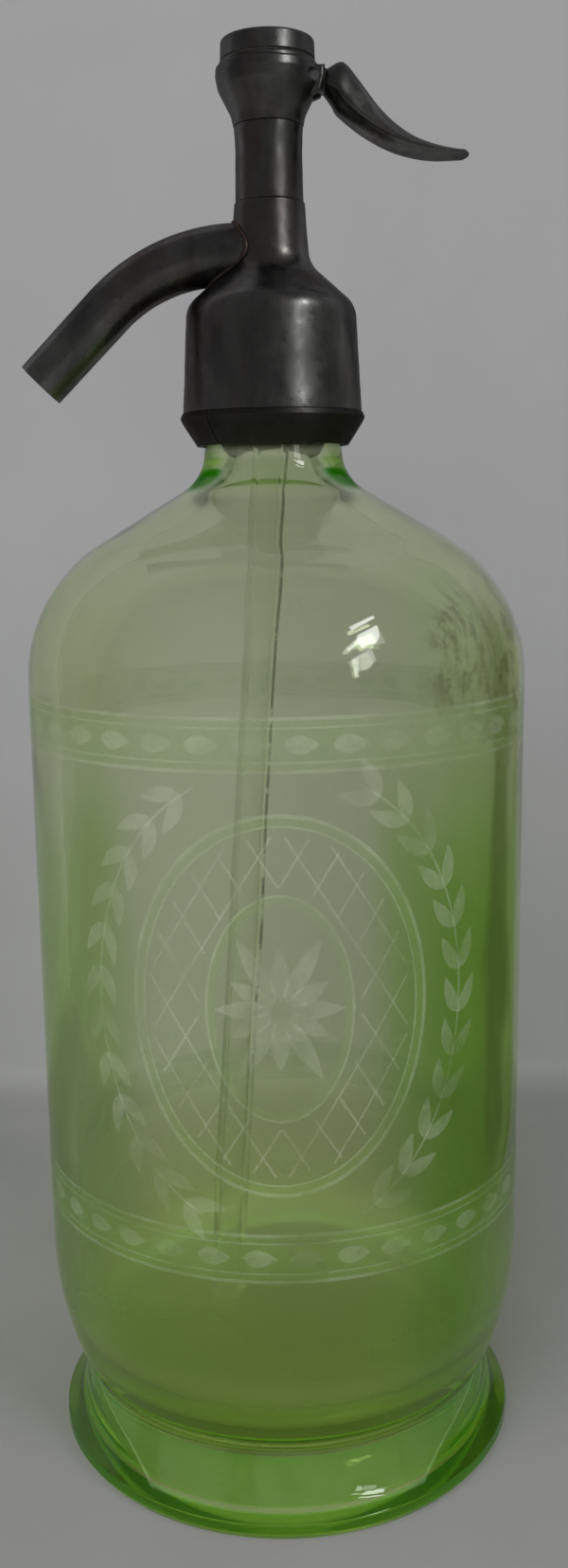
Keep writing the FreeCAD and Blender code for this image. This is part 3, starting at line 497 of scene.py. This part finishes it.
# (r, z, rounding) from the middle of the underside, up the outside, over the lip and down the inside.
BOTTLE = [
    (0, 17), (38.5, 13, 7), (41.5, 1.2, 0.3), (43, 0, 0.8),  # punt and the ring it stands on
    (50.1, 0, 0.8), (51.1, 1.6, 0.8), (50.9, 3.6, 0.6), (46.3, 7.6, 8), (45.2, 18.9, 0.5),  # coved foot
    (47.6, 20.4, 1.4), (52.45, 34, 69.5), (52.45, 188.5, 33),  # heel, wall and shoulder
    (14.8, 210.7, 9), (13.95, 218.87, 0.4), (13.3, 219.87, 0.4), (13.3, 224.57, 0.4),  # neck and groove
    (15.2, 226.47, 0.4), (15.2, 231.47, 1.6), (7.4, 231.47, 1),  # lip
    (7.4, 208.4, 18), (46.5, 185.09, 27), (46.5, 20, 13), (0, 22),  # bore and cavity
]


def glass_wobble(x, y, z, radius):
    """Blown glass: the inside wall varies more than the outside. The foot and the lip stay true."""
    place = Vector((x, y, z * 0.6)) / 26.0
    wave = noise.noise(place) + 0.4 * noise.noise(place * 2.3)
    if 12.0 < radius < INNER_WALL and z > 21.0:
        return 0.22 * wave
    if radius < INNER_WALL and 200.0 < z < 219.0:
        return 0.12 * noise.noise(Vector((x, y, z)) / 6.0)
    if radius > 46.0 and z > 30.0:
        return 0.012 * wave
    return 0.0


bottle_profile = rounded(BOTTLE, step=1.2, turn_step=4.0)
bottle = lathe("bottle", bottle_profile, green_glass, around=BOTTLE_AROUND, push=glass_wobble)

# The paint reads where the cavity's wall is, and the ring of the underside that rises to the punt.
# The profile's first point, on the axis, is one vertex, and every other one is a ring of them.
first_inside = min(index for index, (radius, height) in enumerate(bottle_profile)
                   if radius < 10 and height > 200)
lining = bottle.data.attributes.new("inside", "FLOAT", "POINT").data
punt_wall = bottle.data.attributes.new("underside", "FLOAT", "POINT").data
for index, vertex in enumerate(bottle.data.vertices):
    radius, height = math.hypot(vertex.co.x, vertex.co.y) / MM, vertex.co.z / MM
    lining[index].value = float(index > (first_inside - 1) * BOTTLE_AROUND)
    punt_wall[index].value = float(height < PUNT_TOP and PUNT_INNER < radius < PUNT_OUTER)
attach(bottle, "root")
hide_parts("glass_bottle")

TUBE_RISE = 205.17
tube_foot_x = (TUBE_FOOT_HEIGHT - TUBE_TURN_HEIGHT) * math.tan(TUBE_LEAN)
tube_length = TUBE_RISE / math.cos(TUBE_LEAN)
tube_profile = rounded([(2.3, 0), (3.7, 0, 0.3), (3.7, tube_length, 0.3), (2.3, tube_length)],
                       closed=True, step=2.0)


def tube_wobble(x, y, z, radius):
    """Drawn glass: long slow waves."""
    return 0.05 * noise.noise(Vector((x * 0.3, y * 0.3, z * 0.05)))


tube = lathe("tube", tube_profile, tube_glass, closed=True, around=64, push=tube_wobble)
to_foot = Matrix.Translation((tube_foot_x * MM, 0.0, TUBE_FOOT_HEIGHT * MM))
tube.data.transform(to_foot @ Matrix.Rotation(TUBE_LEAN, 4, "Y"))
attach(tube, "root")
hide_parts("dip_tube")


# ---------------------------------------------------------------- head

# Closed (r, z, rounding) outlines, up the outside and down the inside.
bell_profile = rounded([
    (16.55, 223.87), (18.5, 223.87, 0.25), (17.3, 244.97, 5), (8, 253.2, 6), (7.15, 264.9, 0.25),
    (5.65, 264.9), (5.65, 261.9), (4.4, 261.9), (4.4, 240.17), (5.2, 240.17), (5.2, 234.17), (16.55, 234.17),
], closed=True, step=0.8)
bell = lathe("bell", bell_profile, pewter, closed=True, around=160, push=dents(0.1, 7.5, 1))
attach(bell, "root")
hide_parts("bell_housing")

sleeve_profile = rounded([
    (4.4, 261.9), (5.6, 261.9), (5.6, 264.9), (6.9, 264.9, 0.25), (6.7, 274.8, 20), (6.95, 279.4, 0.25),
    (5.25, 279.4), (5.25, 276.4), (4.4, 276.4),
], closed=True, step=0.8)
sleeve = lathe("sleeve", sleeve_profile, pewter, closed=True, around=128, push=dents(0.07, 6.0, 2))
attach(sleeve, "root")
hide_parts("column_sleeve")


def smooth_points(points, parts, closed):
    """Points of a Catmull-Rom curve through the given ones."""
    made = []
    count = len(points)
    for index in range(count if closed else count - 1):
        near = [index + shift for shift in (-1, 0, 1, 2)]
        near = [place % count if closed else min(max(place, 0), count - 1) for place in near]
        a, b, c, d = (points[place] for place in near)
        for number in range(parts):
            t = number / parts
            made.append(0.5 * (2 * b + (c - a) * t + (2 * a - 5 * b + 4 * c - d) * t * t
                               + (3 * b - a - 3 * c + d) * t * t * t))
    if not closed:
        made.append(points[-1].copy())
    return made


def lever_ring(centre, lean, half_depth, half_width):
    """A cross-section of the lever at an (x, z) centre: a domed back and a flatter belly, turned by lean."""
    side = ((half_width * 0.4, half_depth), (half_width, -half_depth * 0.12),
            (half_width * 0.8, -half_depth * 0.55), (half_width * 0.32, -half_depth))
    outline = list(side) + [(-y, up) for y, up in reversed(side)]
    corners = [Vector((centre[0] + math.sin(lean) * up, y, centre[1] + math.cos(lean) * up))
               for y, up in outline]
    return smooth_points(corners, 6, True)


# The blade runs from BLADE_ROOT_X to the tip and sinks along a power curve. Sizes in mm.
BLADE_ROOT_X, BLADE_LENGTH = 13.8, 26.3
TIP_HEIGHT, BLADE_DROP, DROP_POWER = 273.75, 13.15, 2.6
ROOT_DEPTH, TIP_DEPTH = 7.8, 1.3
WIDEST_SHARE = 0.62


def lever_section(share):
    """The blade's cross-section at a share of its length from the root."""
    left = 1 - share
    slope = math.atan2(BLADE_DROP * DROP_POWER * left ** (DROP_POWER - 1), BLADE_LENGTH)
    thin = left ** 1.45
    swell = math.sin(math.pi * min(share / WIDEST_SHARE, 1) / 2)
    end = max(0.0, (share - WIDEST_SHARE) / (1 - WIDEST_SHARE))
    centre = BLADE_ROOT_X + BLADE_LENGTH * share, TIP_HEIGHT + BLADE_DROP * left ** DROP_POWER
    return lever_ring(centre, slope * min(1, 0.3 + share / 0.16),
                      (ROOT_DEPTH * thin + TIP_DEPTH * (1 - thin)) / 2, (8 + 3.5 * swell - 5 * end ** 2) / 2)


def shrunk(ring, factor, shift):
    """The ring made smaller about its middle and moved along X in mm."""
    centre = sum(ring, Vector()) / len(ring)
    return [centre + (point - centre) * factor + Vector((shift, 0, 0)) for point in ring]


def lever_blade():
    """Vertices and faces of the blade and its root, with small unevenness and closed, rounded ends."""
    stations = [lever_ring((11.7, 287.25), math.radians(5), 2.44, 3.36)]
    stations += [lever_section(share) for share in (
        0.0, 0.07, 0.14, 0.22, 0.3, 0.39, 0.48, 0.57, 0.66, 0.75, 0.84, 0.91, 0.96)]
    stations.append(shrunk(lever_section(1.0), 0.5, -0.15))
    tracks = [smooth_points([ring[index] for ring in stations], 5, False)
              for index in range(len(stations[0]))]
    rings = [list(points) for points in zip(*tracks)]
    root, tip = rings[0], rings[-1]
    rings = [shrunk(root, 0.8, -0.32), shrunk(root, 0.94, -0.2)] + rings + [shrunk(tip, 0.5, 0.12)]
    for ring in rings:
        for point in ring:
            point += Vector((0, 0, 1)) * 0.06 * noise.noise(point / 3.5)
    return tube_mesh(rings)


def slab(mesh, outline, half_width):
    """Adds a plate over an (x, z) outline to a mesh of (vertices, faces)."""
    vertices, faces = mesh
    start = len(vertices)
    count = len(outline)
    vertices.extend(Vector((x, y, z)) for y in (-half_width, half_width) for x, z in outline)
    faces.append(tuple(range(start, start + count)))
    faces.append(tuple(reversed(range(start + count, start + 2 * count))))
    for index in range(count):
        following = (index + 1) % count
        faces.append((start + following, start + index, start + count + index, start + count + following))


def disc(x, z, radius):
    return [(x + radius * math.cos(angle), z + radius * math.sin(angle)) for angle in circle(28)]


lever_mesh = lever_blade()
for outline, half_width in (
        (disc(0.0, 286.6, 1.5), 1.5),  # nose
        (disc(9.0, 287.9, 2.0), 1.5),  # eye round the pin
        ([(8.8, 286.51), (0.09, 286.01), (-0.09, 287.19), (8.8, 289.29)], 1.5),  # tongue
        ([(9.0, 286.0), (13.8, 285.0), (13.8, 288.8), (9.0, 289.8)], 1.5),  # arm into the blade
        ([(10.6, 285.5), (12.4, 285.1), (12.4, 289.5), (10.6, 290.1)], 1.45)):  # deeper part of the arm
    slab(lever_mesh, outline, half_width)
lever = mesh_object("thumb_lever", [point * MM for point in lever_mesh[0]], lever_mesh[1], pewter)
lever.data.set_sharp_from_angle(angle=math.radians(40))
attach(lever, "lever")
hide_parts("lever")

# Solder round the root of the spout, on the wall of the column.
BEAD_PARTS, BEAD_AROUND = 96, 12
SPOUT_HEIGHT, BEAD_RADIUS = 255.15, 6.2
outer_wall = [(radius, height) for radius, height in bell_profile if radius > 7.0 and height > 244.0]
outer_wall.sort(key=lambda point: point[1])


def wall_radius(height):
    """The radius of the bell's outside at a height, in mm."""
    for (low_radius, low), (high_radius, high) in zip(outer_wall, outer_wall[1:]):
        if low <= height <= high:
            return low_radius + (high_radius - low_radius) * (height - low) / max(high - low, 1e-6)
    return outer_wall[-1][0]


bead = []
for angle in circle(BEAD_PARTS):
    y, height = BEAD_RADIUS * math.cos(angle), SPOUT_HEIGHT + BEAD_RADIUS * math.sin(angle)
    x = -math.sqrt(max(wall_radius(height) ** 2 - y * y, 4.0))
    bead.append(Vector((x, y, height)))
bead_rings = []
for number, point in enumerate(bead):
    along = (bead[(number + 1) % BEAD_PARTS] - bead[number - 1]).normalized()
    side = along.cross(Vector((1, 0, 0.2))).normalized()
    other = along.cross(side)
    size = 0.42 + 0.2 * noise.noise(point / 1.7) + 0.1 * noise.noise(point / 0.6)
    bead_rings.append([(point + (side * math.cos(turn) + other * math.sin(turn)) * size) * MM
                       for turn in circle(BEAD_AROUND)])
vertices, faces = tube_mesh(bead_rings, closed=True)
solder_bead = mesh_object("solder_bead", vertices, faces, solder)
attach(solder_bead, "root")

# Etched ornament on the bottle's wall: bands of lozenges all round, and in front an oval with a lattice and
# a rosette between leaf garlands. Points are (arc, height) in mm, with arc 0 in front. Motifs are bright
# strips, and grounds are wider, darker ones that lie just under them.
ETCHED_RADIUS = 52.5
GROUND_RADIUS = 52.475
ROUND = 2 * math.pi * ETCHED_RADIUS
motifs, grounds = ([], []), ([], [])

BAND_HEIGHTS = (58.0, 158.0)
BAND_BREADTH = 9.7
LOZENGES = 36
OVAL = (29.0, 37.0)
OVAL_HEIGHT = 113.0
INNER_OVAL = -15.0
LATTICE_TURN, LATTICE_PITCH = 58.0, 6.2
LATTICE_STEP, LATTICE_STEPS = 0.5, 84
PETALS = 12
GARLAND_PARTS = 60


def ribbon(points, widths, layer=motifs, radius=ETCHED_RADIUS):
    """A flat strip along points, of one width or of a list of them."""
    made, made_faces = layer
    start = len(made)
    for index, point in enumerate(points):
        before, after = points[max(index - 1, 0)], points[min(index + 1, len(points) - 1)]
        run = Vector((after[0] - before[0], after[1] - before[1])).normalized()
        half = (widths[index] if isinstance(widths, list) else widths) / 2
        for side in (-1, 1):
            arc, height = point[0] - run.y * half * side, point[1] + run.x * half * side
            angle = arc / ETCHED_RADIUS - math.pi / 2
            made.append((radius * math.cos(angle) * MM, radius * math.sin(angle) * MM, height * MM))
    for index in range(len(points) - 1):
        first = start + 2 * index
        made_faces.append((first + 1, first + 3, first + 2, first))


def ground(points, width):
    ribbon(points, width, grounds, GROUND_RADIUS)


def leaf(arc, height, direction, length, width, bend=0.0):
    """A lens-shaped leaf from its foot at (arc, height)."""
    points, widths = [], []
    x, z = arc, height
    for number in range(11):
        t = number / 10
        points.append((x, z))
        widths.append(max(width * math.sin(math.pi * t ** 0.8) ** 0.9 if 0 < t < 1 else 0.0, 0.06))
        turn = math.radians(direction + bend * t)
        x += math.cos(turn) * length / 10
        z += math.sin(turn) * length / 10
    ribbon(points, widths)


def full_ring(height):
    return [(ROUND * n / 360 - ROUND / 2, height) for n in range(361)]


def oval(grow, start=0.0, end=360.0, parts=150):
    """The oval, grown by so many mm, from a start to an end in degrees."""
    turns = [math.radians(start + (end - start) * n / parts) for n in range(parts + 1)]
    return [((OVAL[0] + grow) * math.cos(turn), OVAL_HEIGHT + (OVAL[1] + grow) * math.sin(turn))
            for turn in turns]


def in_oval(x, z, shrink):
    return (x / (OVAL[0] - shrink)) ** 2 + (z / (OVAL[1] - shrink)) ** 2 < 1


for low in BAND_HEIGHTS:
    ground(full_ring(low + BAND_BREADTH / 2), BAND_BREADTH)
    for rise, width in ((0.0, 0.7), (1.7, 0.35), (8.0, 0.35), (BAND_BREADTH, 0.7)):
        ribbon(full_ring(low + rise), width)
    for number in range(LOZENGES):
        arc = ROUND * (number + 0.5) / LOZENGES - ROUND / 2
        leaf(arc - 3.4, low + BAND_BREADTH / 2, 0.0, 6.8, 3.6)

ground(oval(-1.0), 2.4)
ground(oval(INNER_OVAL - 0.7, parts=90), 1.8)
ribbon(oval(0.0), 0.8)
ribbon(oval(-2.0), 0.4)
ribbon(oval(INNER_OVAL, parts=90), 0.5)

# The lattice's lines are cut where they leave the space between the two ovals.
for turn in (LATTICE_TURN, -LATTICE_TURN):
    dx, dz = math.cos(math.radians(turn)), math.sin(math.radians(turn))
    for number in range(-7, 8):
        offset = number * LATTICE_PITCH
        run = []
        for step in range(-LATTICE_STEPS, LATTICE_STEPS + 2):
            x = step * LATTICE_STEP * dx - offset * dz
            z = step * LATTICE_STEP * dz + offset * dx
            if step <= LATTICE_STEPS and in_oval(x, z, 3.4) and not in_oval(x, z, 13.6):
                run.append((x, OVAL_HEIGHT + z))
                continue
            if len(run) > 3:
                ribbon(run, 0.45)
            run = []

for number in range(PETALS):
    direction = 360.0 / PETALS * number
    cosine, sine = math.cos(math.radians(direction)), math.sin(math.radians(direction))
    reach = 15.0 if number % 2 == 0 else 10.5
    leaf(1.6 * cosine, OVAL_HEIGHT + 1.6 * sine, direction, reach * (0.72 + 0.28 * abs(sine)), 3.6)

for side in (0, 180):
    garland = oval(9.0, side - 66.0, side + 66.0, GARLAND_PARTS)
    ribbon(garland, 0.5)
    for index in range(2, GARLAND_PARTS, 5):
        (x, z), (ahead_x, ahead_z) = garland[index], garland[index + 1]
        heading = math.degrees(math.atan2(ahead_z - z, ahead_x - x))
        for spread in (38.0, -38.0):
            leaf(x, z, heading + spread, 8.6, 3.1, bend=-spread * 0.6)

for name, layer, finish in (("etched_motifs", motifs, etched), ("etched_grounds", grounds, etched_ground)):
    design = mesh_object(name, layer[0], layer[1], finish)
    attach(design, "root")


# ---------------------------------------------------------------- stage, light, camera and size

# A table that bends up into a wall close behind the bottle. Lengths from here on are in metres.
TABLE, WALL, BEND = -0.00015, 0.161, 0.02
floor_profile = [(-2.2, TABLE), (-0.6, TABLE), (0.0, TABLE)]
for number in range(13):
    angle = math.pi / 2 * number / 12
    floor_profile.append((WALL - BEND + BEND * math.sin(angle), BEND - BEND * math.cos(angle) + TABLE))
floor_profile += [(WALL, 0.3), (WALL, 1.4)]
stage_vertices = [(side, y, z) for side in (-2.5, 2.5) for y, z in floor_profile]
count = len(floor_profile)
stage_faces = [(index, index + count, index + count + 1, index + 1) for index in range(count - 1)]

plaster = Paint("stage_plaster")
speck = plaster.noise(9.0, 8.0, 0.6)
wall_shade = plaster.ramp(speck, ((0.3, (0.34, 0.34, 0.348)), (0.7, (0.37, 0.37, 0.376))))
floor_shade = plaster.ramp(speck, ((0.3, (0.235, 0.235, 0.23)), (0.7, (0.265, 0.265, 0.258))))
shade = plaster.mix(plaster.span(plaster.axes()[2], 0.004, 0.016), floor_shade, wall_shade)
plaster_shader = plaster.add("BsdfDiffuse", {"Color": shade, "Roughness": 0.5})
# The wall is clear from behind, so that views from there still show the bottle.
behind = plaster.add("BsdfTransparent", {"Color": CLEAR})
back = plaster.add("NewGeometry").outputs["Backfacing"]
plaster_mix = plaster.add("MixShader", {
    0: back, 1: plaster_shader.outputs["BSDF"], 2: behind.outputs["BSDF"]})
plaster.surface(plaster_mix.outputs["Shader"])
stage = mesh_object("stage", stage_vertices, stage_faces, plaster.material)


def area_light(name, size, energy, colour, place, target):
    """A soft rectangular light that isn't seen in or through the glass. Energy is in watts."""
    data = bpy.data.lights.new(name, "AREA")
    data.shape = "RECTANGLE"
    data.size, data.size_y = size
    data.energy = energy
    data.color = colour
    lamp = bpy.data.objects.new(name, data)
    scene.collection.objects.link(lamp)
    lamp.location = place
    lamp.rotation_euler = (Vector(target) - Vector(place)).to_track_quat("-Z", "Y").to_euler()
    lamp.visible_glossy = False
    lamp.visible_transmission = False


area_light("key", (1.3, 1.0), 19.5, (1.0, 0.995, 1.0), (-0.62, -1.15, 0.95), (0.0, 0.1, 0.16))
area_light("daylight", (0.5, 0.8), 11.0, CLEAR, (0.98, -0.95, 0.8), (0.0, 0.0, 0.15))
area_light("veil", (2.0, 1.6), 3.4, CLEAR, (-1.1, -0.35, 0.75), (0.0, -0.35, 0.75))

# The room's window, to the right front: its direction in degrees, its distance and the height it looks at.
WINDOW_AZIMUTH, WINDOW_ELEVATION, WINDOW_DISTANCE, WINDOW_TARGET = 46, 24, 1.5, 0.2


def window_pane(name, outline, glow):
    """A lit pane of the window, over (across, up) corners, that only reflections and refractions see."""
    azimuth, elevation = math.radians(WINDOW_AZIMUTH), math.radians(WINDOW_ELEVATION)
    outward = Vector((math.sin(azimuth) * math.cos(elevation), -math.cos(azimuth) * math.cos(elevation),
                      math.sin(elevation)))
    right = Vector((math.cos(azimuth), math.sin(azimuth), 0.0))
    centre = Vector((0.0, 0.0, WINDOW_TARGET)) + outward * WINDOW_DISTANCE
    light = Paint(name)
    sky = light.ramp(light.noise(7.0, 2.0), ((0.3, (0.92, 0.96, 0.97)), (0.7, (1.0, 1.0, 0.98))))
    light.surface(light.add("Emission", {"Color": sky, "Strength": glow}).outputs["Emission"])
    corners = [centre + right * across - outward.cross(right) * up for across, up in outline]
    pane = mesh_object(name, corners, [tuple(range(len(corners)))], light.material, smooth=False)
    pane.visible_camera = False
    pane.visible_diffuse = False


for name, glow, outline in (
        ("pane_slat", 12.0, ((-0.128, -0.445), (0.224, -0.569), (0.226, -0.517), (-0.129, -0.375))),
        ("pane_wide", 12.5, ((-0.096, -0.285), (0.193, -0.389), (0.153, -0.214), (0.071, -0.100),
                             (-0.044, -0.096), (-0.118, -0.062), (-0.134, -0.135), (-0.143, -0.200))),
        ("pane_pale", 3.0, ((0.192, -0.371), (0.171, -0.080), (0.063, -0.070), (0.153, -0.214))),
        ("pane_shelf", 7.5, ((-0.317, -0.097), (-0.149, -0.206), (-0.134, -0.141), (-0.293, -0.041))),
        ("pane_low_left", 7.0, ((-0.295, 0.090), (-0.185, 0.047), (-0.238, 0.261), (-0.271, 0.406),
                                (-0.314, 0.413), (-0.307, 0.232))),
        ("pane_low_right", 4.5, ((-0.173, 0.026), (-0.021, -0.041), (-0.007, 0.161), (-0.127, 0.288),
                                 (-0.233, 0.294)))):
    window_pane(name, outline, glow)

# A dull green patch beyond the right edge of the picture, seen only through and in the glass.
CARD_X, CARD_NEAR, CARD_FAR, CARD_TOP = 0.15, -0.14, 0.16, 0.3
card = Paint("card_green")
_, card_y, card_z = card.axes()
middle = card.times(card.span(card_y, -0.13, 0.0), card.fall(card_y, 0.1, 0.158),
                    card.fall(card_z, 0.16, 0.28))
card_shade = card.ramp(card.noise(30.0), ((0.3, (0.19, 0.225, 0.115)), (0.7, (0.25, 0.29, 0.145))))
card_shader = card.add("BsdfDiffuse", {"Color": card_shade})
card_clear = card.add("BsdfTransparent", {"Color": CLEAR})
card_mix = card.add("MixShader", {0: middle, 1: card_clear.outputs["BSDF"], 2: card_shader.outputs["BSDF"]})
card.surface(card_mix.outputs["Shader"])
card_corners = [(CARD_X, CARD_NEAR, 0.0), (CARD_X, CARD_FAR, 0.0), (CARD_X, CARD_FAR, CARD_TOP),
                (CARD_X, CARD_NEAR, CARD_TOP)]
shade_card = mesh_object("shade_card", card_corners, [(0, 1, 2, 3)], card.material)
shade_card.visible_camera = False
shade_card.visible_diffuse = False
shade_card.visible_shadow = False

world = bpy.data.worlds.new("room")
scene.world = world
world.use_nodes = True
tree = world.node_tree
tree.nodes.clear()


def backdrop(colour):
    made = tree.nodes.new("ShaderNodeBackground")
    made.inputs["Color"].default_value = (*colour, 1.0)
    return made.outputs["Background"]


def chosen(ray, first, second):
    """First, or second for that kind of ray."""
    made = tree.nodes.new("ShaderNodeMixShader")
    for index, socket in enumerate((path.outputs[ray], first, second)):
        tree.links.new(socket, made.inputs[index])
    return made.outputs["Shader"]


path = tree.nodes.new("ShaderNodeLightPath")
room, mirrored, seen = backdrop((0.2, 0.2, 0.2)), backdrop((0.13, 0.13, 0.13)), backdrop((0.42, 0.42, 0.41))
shown = chosen("Is Camera Ray", chosen("Is Glossy Ray", room, mirrored), seen)
world_output = tree.nodes.new("ShaderNodeOutputWorld")
tree.links.new(shown, world_output.inputs["Surface"])

camera_data = bpy.data.cameras.new("camera")
camera_data.sensor_width = 36.0
camera_data.sensor_fit = "AUTO"
camera_data.lens = 32.84
camera_data.clip_start = 0.01
camera = bpy.data.objects.new("camera", camera_data)
scene.collection.objects.link(camera)
CAMERA_PLACE = (0.0013, -0.30519, 0.20432)
LOOKING_DOWN, ROLL = 10.85, -0.8
tilt = Matrix.Rotation(math.radians(90.0 - LOOKING_DOWN), 4, "X")
roll = Matrix.Rotation(math.radians(ROLL), 4, "Z")
camera.matrix_world = Matrix.Translation(CAMERA_PLACE) @ tilt @ roll
scene.camera = camera
